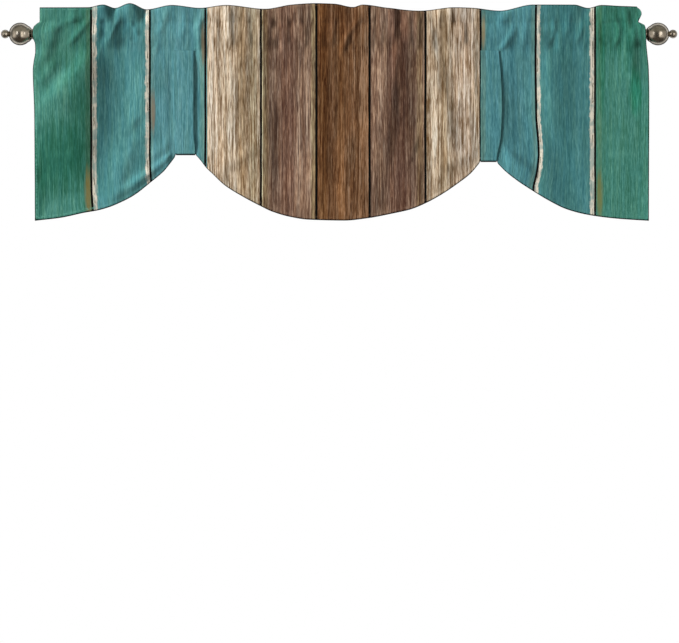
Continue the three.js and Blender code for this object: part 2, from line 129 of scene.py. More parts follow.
# Visible lower edge: x, z
LEFT_DROP = [
    (LEFT_END, HEM),
    (-613, -405), (-561, -394), (-530, -388.5), (-504, -381), (-478, -370), (-451, -355.5),
    (-412, -325), (-385, -302), (-372, -286),
    (TIES[0].foot_left - HEM_FREE, LEFT_TIE_HEM - 5.5),
]
MIDDLE_DROP = [
    (TIES[0].foot_right + HEM_FREE, LEFT_TIE_HEM - 2),
    (-305, -278), (-292, -295), (-278.5, -308), (-252, -333), (-212.5, -358), (-173, -379),
    (-146.5, -391.5), (-107, -403), (-67, -409), (12, -411), (65, -405.5), (117.5, -395.5),
    (157, -386.5), (183.5, -376), (223, -355), (263, -328), (289, -307.5),
    (TIES[1].foot_left - HEM_FREE, RIGHT_TIE_HEM - 4),
]
RIGHT_DROP = [
    (TIES[1].foot_right + HEM_FREE, RIGHT_TIE_HEM - 4.5),
    (368, -304.5), (395, -325.5), (421, -342.5), (461, -367), (500, -386), (540, -397),
    (580, -403.5), (619, -407.5),
    (RIGHT_END, HEM),
]

# Top edge of the ruffle: x, z, lean to the front
RUFFLE = [
    (-669, 58, 1), (-552, 58.5, -3), (-519, 64, 5), (-493, 57, -4), (-460, 67, 6),
    (-423, 54, -6), (-368, 63, 4), (-306, 57, -3), (-249, 63, 5), (-163, 55, -5),
    (-104, 64, 3), (-53, 67, 5), (-11, 66, 1), (31, 59, -5), (52, 64, 3), (108, 57, -2),
    (178, 51, -7), (255, 58, 4), (292, 57, 2), (354, 51, -6), (427, 64, 4), (517, 64, 1),
    (548, 57, -5), (577, 63, 4), (620, 61, 1), (681, 59.5, -4),
]

# How far each end lies from its nominal end: z, shift
LEFT_EDGE = [
    (-409, 0), (-174, -1.5), (-79, -4.5), (-60, -2.5), (-39, 1), (-21, 0.5), (-11, -3.5),
    (0, -5), (14, -3), (22, 4), (27, 10.5), (70, 10.5),
]
RIGHT_EDGE = [
    (-409, 0), (-134, 1), (-79, 0), (-40, -3.5), (-15, -6), (14, -7.5), (21, -11), (26, -23),
    (45, -15.5), (52, -18), (60, -26.5), (70, -27),
]

# Main folds: start x, z and end x, z, downwards or to the left; widths of the side before the crest
# and after it, height (below zero in a trough) and, where the crest's line bends, by how much
FOLDS = [
    (-524, -29, -665, -179, 16, 50, 10.5), (-614, 40, -658, -75, 16, 12, 5),
    (-491, 0, -530, -343, 42, 30, -11, 18), (-442, -4, -495, -330, 22, 40, 6, 32),
    (-456, -224, -508, -400, 28, 18, 6), (-354, -232, -425, -271, 14, 12, 2.8),
    (-403, -302, -530, -368, 12, 16, 5, 6), (-218, -9, -218, -180, 45, 26, 5.5),
    (-170, -242, -280, -308, 16, 14, 4.5), (-128, -119, -132, -365, 16, 30, -6),
    (-49, -13, -42, -436, 32, 22, 6.5), (15, -189, 9, -400, 22, 20, 4),
    (127, 31, 97, -343, 45, 15, 9.5), (171, 9, 171, -255, 26, 12, -5),
    (213, -13, 248, -295, 26, 14, 5.5), (297, -4, 297, -167, 30, 15, 4),
    (314, -251, 200, -304, 14, 16, 5), (402, -44, 402, -286, 34, 25, -5),
    (345, -246, 442, -321, 24, 12, 6.5), (466, 0, 471, -260, 16, 50, 6),
    (455, -224, 455, -409, 14, 26, 4), (640, 26, 647, -128, 18, 14, 4),
]

# Small folds and puckers on top of the main ones
SMALL_FOLDS = [
    (-614, -53, -667, -119, 9, 12, 3.5), (-539, 55, -671, -9, 7, 9, 3.4),
    (-539, 42, -601, -31, 6, 7, 4.2), (-579, 62, -588, 18, 8, 6, 2.5),
    (-425, -180, -467, -238, 10, 11, -4.5), (-649, -295, -671, -356, 9, 9, -2.5),
    (-342, -244, -490, -352, 5, 12, 7, 3), (-469, 40, -473, -48, 20, 8, -4.5),
    (-507, 50, -511, -54, 7, 32, 5), (-529, 44, -533, -14, 6, 14, 4),
    (-508, 40, -513, -22, 10, 4, -4), (-495, 70, -495, 18, 14, 5, -5.5),
    (-425, 73, -429, 18, 12, 4, -6), (-451, 29, -451, -22, 9, 4, -5),
    (-480, 46, -508, -20, 4, 5, 3.2), (-462, 33, -440, -9, 4, 5, 3.4),
    (-517, -9, -530, -57, 4, 4, 2), (-376, 62, -405, -13, 6, 9, 3, 3),
    (-341, 57, -354, -18, 8, 8, 2.4, 8), (-313, 44, -308, -70, 4, 13, 4.5),
    (-293, 53, -313, 4, 5, 6, 2.8), (-394, -13, -409, -48, 5, 6, 2),
    (-242, 73, -238, -44, 12, 5, 4.4), (-205, 57, -196, -35, 8, 6, 3),
    (-275, 53, -266, -26, 10, 6, 2.6), (-132, 40, -132, -48, 14, 4, -6.5),
    (-101, 40, -104, -26, 8, 4, -4.5), (-93, 48, -86, -13, 5, 5, 2.6, 8),
    (-73, 31, -77, -40, 8, 6, 3), (-148, 62, -152, 4, 7, 5, 2.5),
    (-38, 57, -42, -40, 8, 10, 4), (-11, 48, -18, -35, 6, 7, 3.5),
    (55, 48, 4, -22, 5, 7, 4), (20, 0, 0, -53, 5, 7, 4),
    (72, 62, 77, -26, 8, 6, 3), (121, 75, 123, -22, 16, 5, 7),
    (97, 48, 90, -26, 9, 7, 3.5), (149, 53, 156, -35, 9, 6, 3.5),
    (174, 57, 176, -40, 7, 5, 3),
    (178, -229, 167, -290, 9, 7, -4), (200, 22, 207, -48, 9, 8, 4),
    (244, 75, 246, 13, 7, 5, 3.5), (275, 35, 275, -31, 9, 5, 4),
    (297, 31, 295, -35, 7, 5, 2.6), (222, 62, 215, 4, 7, 6, 2.6),
    (389, 22, 347, -48, 6, 9, 4.5, 3), (389, 66, 347, 13, 12, 10, 3.5),
    (413, 48, 407, -35, 8, 8, 2.2), (468, 40, 462, -22, 4, 6, 3, 7),
    (444, 35, 444, -13, 5, 4, 2.4, -6), (473, 13, 473, -44, 12, 6, -4.5),
    (501, 53, 495, -9, 7, 8, 2.6, 5), (541, 31, 521, -22, 5, 6, 2.6),
    (552, 62, 548, 4, 6, 5, 2.2), (598, 44, 600, -35, 5, 5, 2.8, 16),
    (581, 40, 576, -31, 5, 5, 2.2, -10), (622, 33, 570, 26, 5, 5, 2.4, -3),
    (651, 22, 651, -35, 10, 8, 3.4), (631, 62, 636, 4, 9, 6, 3),
    (669, 48, 664, -26, 7, 5, 2.4),
]


def add_object(name, data):
    made = bpy.data.objects.new(name, data)
    bpy.context.collection.objects.link(made)
    return made


# Camera
camera = add_object("camera", bpy.data.cameras.new("camera"))
camera.location = Vector(CAMERA_AT) * MM
camera.rotation_euler = (math.pi / 2, 0, 0)
camera.data.sensor_width = SENSOR
camera.data.lens = SENSOR * -CAMERA_AT[1] / PHOTO_WIDTH
camera.data.clip_end = 100
bpy.context.scene.camera = camera
bpy.context.scene.view_settings.view_transform = "Standard"


def smooth_step(value):
    inside = np.clip(value, 0, 1)
    return inside**2 * (3 - 2 * inside)


def lerp(a, b, share):
    return a + (b - a) * share


def bell(distance, reach):
    return np.exp(-((distance / reach) ** 2))


def fade(distance, reach):
    return np.clip(1 - distance / reach, 0, 1) ** 2


def curve_through(rows, column=1):
    """A smooth curve through a table's rows, flat at each crest and dip."""
    xs = np.array([row[0] for row in rows], float)
    ys = np.array([row[column] for row in rows], float)
    rise = np.diff(ys) / np.diff(xs)
    slopes = np.concatenate(([rise[0]], np.zeros(len(xs) - 2), [rise[-1]]))
    for i in range(1, len(xs) - 1):
        if rise[i - 1] * rise[i] > 0:
            slopes[i] = 2 * rise[i - 1] * rise[i] / (rise[i - 1] + rise[i])

    def at(x):
        x = np.clip(x, xs[0], xs[-1])
        i = np.clip(np.searchsorted(xs, x) - 1, 0, len(xs) - 2)
        span = xs[i + 1] - xs[i]
        t = (x - xs[i]) / span
        bend = 3 * t**2 - 2 * t**3
        return (ys[i] * (1 - bend) + ys[i + 1] * bend
                + span * slopes[i] * t * (1 - t) ** 2 - span * slopes[i + 1] * t**2 * (1 - t))

    return at


top_edge = curve_through(RUFFLE)
top_lean = curve_through(RUFFLE, 2)
left_shift = curve_through(LEFT_EDGE)
right_shift = curve_through(RIGHT_EDGE)
drops = [curve_through(rows) for rows in (LEFT_DROP, MIDDLE_DROP, RIGHT_DROP)]


def lower_edge(x):
    """Lowest point of the cloth's own fold at a place along the rod."""
    past_left, past_right = (x > tie.foot_left for tie in TIES)
    found = np.where(past_right, drops[2](x), np.where(past_left, drops[1](x), drops[0](x)))
    for tie in TIES:
        raised = (x > tie.foot_left - HEM_FREE) & (x < tie.foot_right + HEM_FREE)
        found = np.where(raised, tie.hem + SOLID_STRAP + GAP, found)
    return found


def free_of_ties(x):
    """0 under a tie, which presses the cloth flat, and 1 away from it."""
    away = [np.maximum(tie.left - x, x - max(tie.right + tie.bow, tie.foot_right)) for tie in TIES]
    return smooth_step(np.minimum(*away) / STRAP_PRESS_REACH)


def ridges(x, z, rows):
    """Folds that rise and fade along their length, with one side steeper than the other."""
    total = np.zeros(np.broadcast(x, z).shape)
    for x0, z0, x1, z1, near, far, height, *bend in rows:
        run_x, run_z = x1 - x0, z1 - z0
        length = math.hypot(run_x, run_z)
        share = ((x - x0) * run_x + (z - z0) * run_z) / length**2
        taper = smooth_step(share / FOLD_TAPER) * smooth_step((1 - share) / FOLD_TAPER)
        away = ((z - z0) * run_x - (x - x0) * run_z) / length - sum(bend) * 4 * share * (1 - share)
        width = np.where(away < 0, near, far)
        total += height * taper * bell(away, width)
    return total


def grid_noise(x, z, scale_x, scale_z, seed):
    """Smooth noise from -1 to 1 over the cloth."""
    x, z = np.broadcast_arrays(x, z)
    places = zip(x.ravel(), z.ravel())
    values = [noise.noise(Vector((a / scale_x, b / scale_z, seed))) for a, b in places]
    return np.array(values).reshape(x.shape)


def relief(x, z):
    """How far the folds stand in front of the plain cloth."""
    drape = sum(height * grid_noise(x, z, *size) for height, *size in DRAPE)
    pucker, *size = SEAM_PUCKERS
    near_seams = sum(strength * bell(z - seam, reach) for seam, strength, reach in SEAMS)
    groove = sum(bell(z - seam, GROOVE_REACH) for seam, _, _ in SEAMS)
    hang = smooth_step((POCKET_SEAM - z) / DRAPE_START)
    return (ridges(x, z, FOLDS) + ridges(x, z, SMALL_FOLDS) + drape * hang
            + pucker * grid_noise(x, z, *size) * near_seams - SEAM_GROOVE * groove)


def from_end(x):
    return np.minimum(x - LEFT_END, RIGHT_END - x)


def beside_ties(x, z):
    """Hollows in which the cloth falls back beside a tie's edges."""
    total = 0.0
    past, near, far = RIGHT_HOLLOW
    for tie in TIES:
        down = smooth_step((HOLLOW_TOP - z) / HOLLOW_TAPER) * smooth_step((z - tie.hem) / HOLLOW_TAPER)
        share = np.clip((POCKET_SEAM - z) / (POCKET_SEAM - tie.hem), 0, 1)
        away = x - tie.right - tie.bow * np.sin(np.pi * share) - past
        after = bell(away, np.where(away < 0, near, far))
        before = bell(x - tie.left + LEFT_HOLLOW[0], LEFT_HOLLOW[1])
        total = total + down * (TIE_HOLLOWS[tie.name] * after + TIE_HOLLOW_LEFT * before)
    return total


def hem_roll(x, z):
    """The sewn hem and the turned edge stand out a little."""
    return HEM_ROLL * smooth_step(1 - (z - lower_edge(x)) / HEM_ROLL_HEIGHT)


def mouth(x):
    return MOUTH_OPENING * fade(from_end(x), MOUTH_REACH)


def curl(x):
    left = LEFT_CURL * fade(x - LEFT_END, EDGE_CURL_REACH)
    return left + RIGHT_CURL * fade(RIGHT_END - x, EDGE_CURL_REACH)


POCKET_DEPTH = ROD_RADIUS + GAP + SOLID_CLOTH / 2


def tent(z, at_rod=POCKET_DEPTH, at_seam=LAYER / 2):
    """The pocket's shape over the rod, from the rod's side to each seam."""
    seam = np.where(z > 0, HEADER_SEAM, -POCKET_SEAM)
    share = np.clip((np.abs(z) - POCKET_FLAT) / (seam - POCKET_FLAT), 0, 1)
    return lerp(at_rod, at_seam, share - POCKET_EASE * np.sin(2 * np.pi * share) / (2 * np.pi))


def front_depth(x, z):
    """Distance of the front layer's middle in front of the rod's axis."""
    x, z = np.broadcast_arrays(x, z)
    folds = relief(x, z) * np.where(z > POCKET_SEAM, 1, free_of_ties(x))
    share = np.clip((z - HEADER_SEAM) / (top_edge(x) - HEADER_SEAM), 0, 1)
    header = (LAYER / 2 + SEAM_FORWARD + HEADER_PUFF * np.sin(np.pi * share) + top_lean(x) * share
              + folds - curl(x))
    open_ = 1 - smooth_step((np.abs(z) - POCKET_FLAT) / (-POCKET_SEAM - POCKET_FLAT))
    touching = tent(z, POCKET_DEPTH, LAYER / 2 + SEAM_FORWARD) + mouth(x) * open_
    loose = tent(z, POCKET_DEPTH + POCKET_LOOSE, LAYER / 2 + SEAM_FORWARD) + mouth(x) * open_
    pocket = np.maximum(loose + folds, touching - SEAM_DENT * (1 - open_))
    hang = smooth_step((POCKET_SEAM - z) / CURL_START)
    drop = (LAYER / 2 + SEAM_FORWARD + folds - curl(x) * hang
            + beside_ties(x, z) + hem_roll(x, z) * free_of_ties(x))
    return np.where(z >= HEADER_SEAM, header, np.where(z >= POCKET_SEAM, pocket, drop))


def back_depth(x, z):
    """Distance of the back layer's middle behind the rod's axis, in the pocket and header."""
    x, z = np.broadcast_arrays(x, z)
    front = front_depth(x, z)
    share = np.clip((z - HEADER_SEAM) / (top_edge(x) - HEADER_SEAM), 0, 1)
    header = LAYER + 2 * HEADER_PUFF * np.sin(np.pi * share) - front
    seam = np.where(z > 0, HEADER_SEAM, POCKET_SEAM)
    way = np.clip((np.abs(z) - POCKET_FLAT) / (np.abs(seam) - POCKET_FLAT), 0, 1)
    pocket = tent(z) + mouth(x) * (1 - way) + (LAYER / 2 - front_depth(x, seam)) * way
    return np.where(z >= HEADER_SEAM, header, np.where(z <= POCKET_SEAM, LAYER - front, pocket))


def hung_x(x, z):
    """The ends are drawn in or out as they hang."""
    left = left_shift(z) * fade(x - LEFT_END, END_REACH)
    return x + left + right_shift(z) * fade(RIGHT_END - x, END_REACH)


def turn_radius(x):
    return lerp(TIGHT_TURN, SOFT_TURN, (lower_edge(x) - HEM) / (LEFT_TIE_HEM - HEM))


def flap_top(x):
    return 2 * lower_edge(x) - HEM + HEM_ALLOWANCE


def flap_behind(x, share):
    radius = turn_radius(x)
    return lerp(2 * radius, LAYER + 0.9 * radius, share)


# Rows of the cloth from the pocket's back edge, over the header and down to the flap behind
BACK_POCKET = np.concatenate(([POCKET_EDGE], np.linspace(POCKET_SEAM, HEADER_SEAM, 10)))
HEADER_SHARES = np.array([0.13, 0.3, 0.48, 0.66, 0.82, 0.94])
TOP_ANGLES = np.radians([150, 90, 30])
FRONT_POCKET = np.linspace(HEADER_SEAM, POCKET_SEAM, 21)
DROP_SHARES = np.linspace(0, 1, 53)
TURN_ANGLES = np.radians([30, 60, 90, 120, 150])
FLAP_SHARES = np.linspace(0, 1, 8)
COLUMN_STEP = 3.14
DROP_START = POCKET_EDGE - 3


def columns():
    """Places along the rod, with two beside each edge of a tie's foot."""
    marks = [LEFT_END]
    for tie in TIES:
        marks += [tie.foot_left - HEM_FREE, tie.foot_left - HEM_RAISED]
        marks += [tie.foot_right + HEM_RAISED, tie.foot_right + HEM_FREE]
    marks.append(RIGHT_END)
    places = [LEFT_END]
    for start, end in zip(marks, marks[1:]):
        cells = max(1, round((end - start) / COLUMN_STEP))
        places += list(np.linspace(start, end, cells + 1)[1:])
    return np.array(places)


def cloth_grid(x):
    """Points of the cloth's middle and its print coordinates, by column and row."""
    top = top_edge(x)[:, None]
    wide = x[:, None]
    rows, prints, seam_rows = [], [], {}

    def rows_so_far():
        return sum(part.shape[1] for part in rows)

    def add(depth, z, along):
        z = np.broadcast_to(z, np.broadcast(wide, z).shape)
        rows.append(np.stack((hung_x(wide, z), -np.broadcast_to(depth, z.shape), z), -1))
        prints.append(np.stack(np.broadcast_arrays(wide, np.broadcast_to(along, z.shape)), -1))

    add(-back_depth(wide, BACK_POCKET[None]), BACK_POCKET[None], 2 * top - BACK_POCKET[None])
    heights = HEADER_SEAM + HEADER_SHARES * (top - HEADER_SEAM)
    add(-back_depth(wide, heights), heights, 2 * top - heights)
    rounded = top - LAYER / 2 + LAYER / 2 * np.sin(TOP_ANGLES)
    edge = front_depth(wide, top) - LAYER / 2
    onto_back = np.sign(-np.cos(TOP_ANGLES))
    add(edge + LAYER / 2 * np.cos(TOP_ANGLES), rounded, top + (top - rounded) * onto_back)
    heights = heights[:, ::-1]
    add(front_depth(wide, heights), heights, heights)
    seam_rows["header"] = rows_so_far()
    add(front_depth(wide, FRONT_POCKET[None]), FRONT_POCKET[None], FRONT_POCKET[None])
    seam_rows["pocket"] = rows_so_far() - 1
    radius = turn_radius(x)[:, None]
    low = lower_edge(x)[:, None]
    turn_height = low + SOLID_CLOTH / 2 + radius
    drop = lerp(DROP_START, turn_height, DROP_SHARES)
    depths = front_depth(wide, drop)
    add(depths, drop, drop)
    seam_rows["turn"] = rows_so_far()
    centre = depths[:, -1:] - radius
    add(centre + radius * np.cos(TURN_ANGLES), turn_height - radius * np.sin(TURN_ANGLES),
        turn_height - radius * TURN_ANGLES)
    flap = lerp(turn_height, flap_top(x)[:, None], FLAP_SHARES)
    add(front_depth(wide, flap) - flap_behind(wide, FLAP_SHARES), flap, 2 * low - flap)
    return np.concatenate(rows, 1), np.concatenate(prints, 1), seam_rows


def unit(vectors):
    return vectors / np.maximum(np.linalg.norm(vectors, axis=-1, keepdims=True), 1e-12)


def grid_normals(points):
    """Outward directions of a grid whose first axis runs along the rod."""
    def along(axis):
        steps = unit(np.diff(points, axis=axis))
        before = np.insert(steps, 0, 0, axis)
        after = np.insert(steps, steps.shape[axis], 0, axis)
        return before + after
    return unit(np.cross(along(1), along(0)))


def make_object(name, vertices, faces, materials, maps=None, indices=None):
    mesh = bpy.data.meshes.new(name)
    mesh.from_pydata((np.asarray(vertices) * MM).tolist(), [], faces)
    for material in materials:
        mesh.materials.append(material)
    if indices is not None:
        mesh.polygons.foreach_set("material_index", indices)
    corner = np.empty(len(mesh.loops), int)
    mesh.loops.foreach_get("vertex_index", corner)
    for map_name, uvs in (maps or {}).items():
        layer = mesh.uv_layers.new(name=map_name)
        layer.data.foreach_set("uv", (np.asarray(uvs)[corner] * MM).ravel())
    mesh.polygons.foreach_set("use_smooth", [True] * len(mesh.polygons))
    mesh.update()
    made = add_object(name, mesh)
    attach(made, "root")
    return made


def sheet_object(name, points, prints, rims, thickness, materials):
    """A closed sheet of even thickness about a grid of points: face, reverse, then its edges."""
    wide, tall = points.shape[:2]
    outward = grid_normals(points) * thickness / 2
    vertices = np.concatenate(((points + outward).reshape(-1, 3), (points - outward).reshape(-1, 3)))
    at = np.arange(wide * tall).reshape(wide, tall)
    back = at + wide * tall
    face = np.stack((at[:-1, :-1], at[:-1, 1:], at[1:, 1:], at[1:, :-1]), -1).reshape(-1, 4)
    reverse = np.stack((back[:-1, :-1], back[1:, :-1], back[1:, 1:], back[:-1, 1:]), -1).reshape(-1, 4)

    def edge(a, b):
        return np.stack((a[:-1], a[1:], b[1:], b[:-1]), -1)

    edges = np.concatenate((
        edge(at[:, 0], back[:, 0]), edge(back[:, -1], at[:, -1]),
        edge(back[0], at[0]), edge(at[-1], back[-1]),
    ))
    faces = np.concatenate((face, reverse, edges))
    indices = np.repeat([0, len(materials) - 1, 0], [len(face), len(reverse), len(edges)])
    rims = np.stack((rims, rims), -1)
    maps = {"print": prints, "rim": rims}
    maps = {key: np.tile(uvs.reshape(-1, 2), (2, 1)) for key, uvs in maps.items()}
    return make_object(name, vertices, faces.tolist(), materials, maps, indices)


class Graph:
    """A node tree, with short calls for the nodes used here."""

    def __init__(self, owner):
        owner.use_nodes = True
        self.tree = owner.node_tree
        self.tree.nodes.clear()

    def put(self, socket, value):
        if isinstance(value, bpy.types.NodeSocket):
            self.tree.links.new(value, socket)
        elif value is not None:
            socket.default_value = value

    def node(self, kind, *values):
        """A new node, with its first inputs set or linked."""
        made = self.tree.nodes.new("ShaderNode" + kind)
        for socket, value in zip(made.inputs, values):
            self.put(socket, value)
        return made

    def math(self, operation, *values):
        node = self.node("Math", *values)
        node.operation = operation
        return node.outputs[0]

    def times(self, a, b):
        return self.math("MULTIPLY", a, b)

    def minus(self, a, b):
        return self.math("SUBTRACT", a, b)

    def line(self, value, slope, offset):
        """value * slope + offset"""
        return self.math("MULTIPLY_ADD", value, slope, offset)

    def span(self, value, low, high, out_low=0.0, out_high=1.0, smooth=True):
        node = self.node("MapRange", value, low, high, out_low, out_high)
        node.interpolation_type = "SMOOTHSTEP" if smooth else "LINEAR"
        return node.outputs[0]

    def combine(self, *values):
        return self.node("CombineXYZ", *values).outputs[0]

    def stretched(self, x, z, wide, tall, third):
        """Coordinates that run through one unit in a given width and height."""
        return self.combine(self.times(x, 1 / wide), self.times(z, 1 / tall), third)

    def place_in(self, map_name):
        """The place in a UV map, in millimetres."""
        source = self.node("UVMap")
        source.uv_map = map_name
        split = self.node("SeparateXYZ", source.outputs[0])
        return [self.times(split.outputs[k], 1 / MM) for k in range(2)]

    def noise(self, vector, detail=2.0, roughness=0.5, scale=1.0):
        return self.node("TexNoise", vector, None, scale, detail, roughness).outputs["Fac"]

    def mix(self, share, a, b, blend="MIX"):
        node = self.node("Mix")
        node.data_type = "RGBA"
        node.blend_type = blend
        for k, value in ((0, share), (6, a), (7, b)):
            self.put(node.inputs[k], value)
        return node.outputs[2]

    def ramp(self, value, stops, steps=False):
        node = self.node("ValToRGB", value)
        node.color_ramp.interpolation = "CONSTANT" if steps else "LINEAR"
        elements = node.color_ramp.elements
        while len(elements) < len(stops):
            elements.new(1.0)
        for element, (place, colour) in zip(elements, stops):
            element.position = place
            element.color = colour
        return node.outputs["Color"]

    def bump(self, height, strength, distance):
        node = self.node("Bump", strength, distance)
        self.put(node.inputs["Height"], height)
        return node.outputs[0]


class Nodes(Graph):
    """A material's tree with its shader."""

    def __init__(self, name):
        self.material = bpy.data.materials.new(name)
        super().__init__(self.material)
        self.shader = self.node("BsdfPrincipled")
        self.node("OutputMaterial", self.shader.outputs[0])

    def set(self, **sockets):
        for name, value in sockets.items():
            self.put(self.shader.inputs[name.replace("_", " ")], value)
        return self.material


def rgb(red, green, blue):
    """A colour given as it looks on a screen, 0 to 255."""
    def linear(c):
        c /= 255
        return c / 12.92 if c <= 0.04045 else ((c + 0.055) / 1.055) ** 2.4
    return (linear(red), linear(green), linear(blue), 1.0)


def grey(value):
    return (value, value, value, 1)


# Print: wood colours as dark grain, body and pale grain, and the strength of the grain
WOODS = {
    "green": (rgb(32, 86, 66), rgb(64, 120, 107), rgb(94, 152, 136), 0.72),
    "teal": (rgb(36, 84, 86), rgb(71, 123, 123), rgb(104, 156, 154), 0.6),
    "sky": (rgb(46, 92, 97), rgb(81, 134, 138), rgb(116, 166, 169), 0.65),
    "tan": (rgb(98, 74, 48), rgb(170, 152, 129), rgb(222, 208, 188), 1.25),
    "taupe": (rgb(70, 48, 38), rgb(117, 93, 77), rgb(163, 139, 118), 1.15),
    "brown": (rgb(58, 32, 14), rgb(109, 78, 53), rgb(149, 118, 92), 1.15),
}
CREAM = rgb(204, 196, 179)
GREY_CREAM = rgb(150, 151, 140)
CRACK = rgb(84, 76, 56)
GAP_DARK = rgb(4, 3, 2)
REVERSE = rgb(222, 218, 208)
WARM = (1.05, 1.0, 0.94, 1)
COOL = (0.96, 1.0, 1.04, 1)

# Planks: right-hand gap's place, its half width, wood, and the tone from left to right
PLANKS = [
    (-545.2, 2.4, "green", (0.60, 0.55, 0.30)),
    (-416.0, 2.3, "teal", (0.34, 0.50, 0.60)),
    (-293.9, 2.4, "sky", (0.50, 0.52, 0.50)),
    (-171.8, 2.4, "tan", (0.60, 0.53, 0.44)),
    (-49.9, 2.5, "taupe", (0.46, 0.46, 0.58)),
    (67.1, 2.6, "brown", (0.42, 0.48, 0.58)),
    (189.9, 2.6, "taupe", (0.58, 0.37, 0.42)),
    (311.1, 2.4, "tan", (0.50, 0.52, 0.58)),
    (432.7, 2.5, "sky", (0.42, 0.34, 0.36)),
    (563.0, 2.3, "teal", (0.46, 0.36, 0.48)),
    (RIGHT_END + 40, 2.4, "green", (0.52, 0.50, 0.45)),
]
# Worn pale edges: gap, side, width, raggedness, share of cream, place of a crack
WORN_EDGES = [
    (-545.2, 1, 12.4, 5.0, 0.42, 6.0), (-416.0, -1, 10.0, 6.0, 0.66, 5.0),
    (432.7, 1, 10.0, 5.5, 0.66, 4.4), (563.0, -1, 11.6, 6.0, 0.62, 5.0),
]
# Bands of tinted wood: place, half width, tint
BANDS = [
    (-552, 7, (1.25, 0.9, 0.8)), (-410, 5, (1.4, 1.12, 1.02)), (-299, 8, (1.25, 0.97, 0.84)),
    (-288, 5, (1.14, 1.13, 1.08)), (-275, 22, (1.04, 1.03, 1.04)), (-213, 12, (0.86, 0.78, 0.66)),
    (-189, 11, (0.95, 0.97, 0.9)), (-163, 9, (0.98, 1.08, 0.9)), (-151, 7, (0.85, 0.85, 0.85)),
    (-114, 22, (1.0, 0.93, 0.93)), (-56, 7, (1.0, 1.12, 0.92)), (-35, 12, (1.14, 1.02, 0.8)),
    (-18, 9, (0.86, 0.82, 0.78)), (4, 10, (1.1, 1.02, 0.88)), (84, 18, (1.12, 1.1, 1.08)),
    (130, 26, (0.97, 0.88, 0.87)), (178, 9, (0.98, 1.04, 0.88)), (231, 10, (0.88, 0.82, 0.72)),
    (272, 30, (1.0, 1.0, 1.06)), (318, 7, (1.35, 1.0, 0.86)), (426, 6, (1.3, 1.02, 0.92)),
    (504, 32, (0.9, 0.94, 0.94)), (573, 7, (1.3, 0.97, 0.82)),
]
# Soft patches, partly darker or lighter wood and partly painted shade and painted light of the folds:
# place x, z, half width, half height, tint or shade
TONE_AND_SHADE_PATCHES = [
    (-618, -278, 84, 100, (0.42, 0.66, 0.58)), (-574, -190, 26, 130, (0.74, 0.86, 0.8)),
    (-562, -48, 26, 44, 1.16), (-602, -112, 32, 40, (1.2, 1.18, 1.18)),
    (-624, -60, 26, 26, (0.8, 0.86, 0.84)), (-576, -372, 60, 26, (1.3, 1.2, 1.25)),
    (608, 14, 84, 74, (0.62, 0.8, 0.74)), (642, -44, 16, 50, (0.68, 0.8, 0.76)),
    (652, -128, 16, 62, (0.45, 0.92, 0.74)), (578, -70, 8, 130, (0.6, 0.88, 0.8)),
    (-486, 8, 50, 42, (0.82, 0.86, 0.88)), (-500, -345, 48, 44, 1.16),
    (-404, -200, 28, 120, (1.1, 1.1, 1.12)), (-479, -170, 17, 130, (0.78, 0.8, 0.8)),
    (-440, -205, 12, 24, (0.76, 0.78, 0.78)),
    (-552, 42, 13, 30, (1.2, 1.16, 1.16)), (-459, -90, 13, 80, 0.9),
    (-660, -342, 22, 84, (0.52, 0.66, 0.6)), (-560, -200, 16, 34, (0.84, 0.86, 0.84)),
    (-497, -230, 16, 70, (0.92, 0.93, 0.92)), (-534, -374, 20, 24, (1.22, 1.18, 1.2)),
    (-420, -256, 40, 16, 1.13), (-371, -24, 16, 62, 1.1),
    (-456, -292, 24, 44, (1.34, 1.32, 1.32)), (-262, -220, 17, 100, (1.22, 1.2, 1.18)),
    (-222, -150, 20, 90, 0.82), (-206, 12, 30, 44, (0.74, 0.72, 0.7)),
    (-163, -190, 10, 110, 0.84), (-118, -110, 20, 76, (1.1, 1.09, 1.08)),
    (-32, -150, 9, 80, (1.13, 1.12, 1.1)), (26, -325, 12, 48, 1.22),
    (60, -36, 10, 72, 0.84), (150, -296, 28, 62, 1.12),
    (442, -285, 12, 40, (0.86, 0.88, 0.88)),
    (-229, -292, 56, 44, (0.94, 0.92, 0.9)), (-100, 22, 60, 44, (0.84, 0.82, 0.8)),
    (-82, -330, 50, 72, (1.18, 1.17, 1.15)), (-4, -350, 32, 66, (1.26, 1.27, 1.28)),
    (4, -138, 24, 64, (0.8, 0.78, 0.76)), (6, 24, 66, 42, (0.88, 0.84, 0.82)),
    (90, -320, 17, 130, 0.7), (100, -8, 30, 50, (0.84, 0.83, 0.82)),
    (129, -64, 20, 60, (1.48, 1.44, 1.4)),
    (158, -84, 14, 66, (0.8, 0.79, 0.77)), (120, -215, 10, 64, (1.22, 1.2, 1.18)),
    (74, 2, 16, 44, (0.8, 0.79, 0.77)), (-22, -90, 11, 62, (0.84, 0.83, 0.82)),
    (299, -96, 12, 86, 1.17), (80, -372, 28, 36, (0.8, 0.79, 0.78)),
    (178, -250, 15, 28, (0.82, 0.82, 0.8)), (395, -165, 18, 120, 0.92),
    (152, -235, 26, 90, (0.9, 0.9, 0.88)),
    (250, 12, 62, 36, (0.76, 0.72, 0.68)), (276, -104, 32, 88, 1.2),
    (220, -84, 14, 110, 0.82), (262, -290, 46, 30, (0.84, 0.83, 0.8)),
    (450, -260, 14, 140, (0.86, 0.88, 0.88)),
]
# Stains: place x, z, half width, half height, colour
STAINS = [
    (-553, -352, 9, 66, rgb(122, 104, 56)),
    (573, -352, 8, 60, rgb(112, 112, 62)),
    (-409.5, -170, 6, 54, rgb(136, 116, 92)),
    (-299, -20, 5.5, 50, rgb(138, 120, 92)),
    (317, 4, 5, 42, rgb(138, 120, 84)),
]
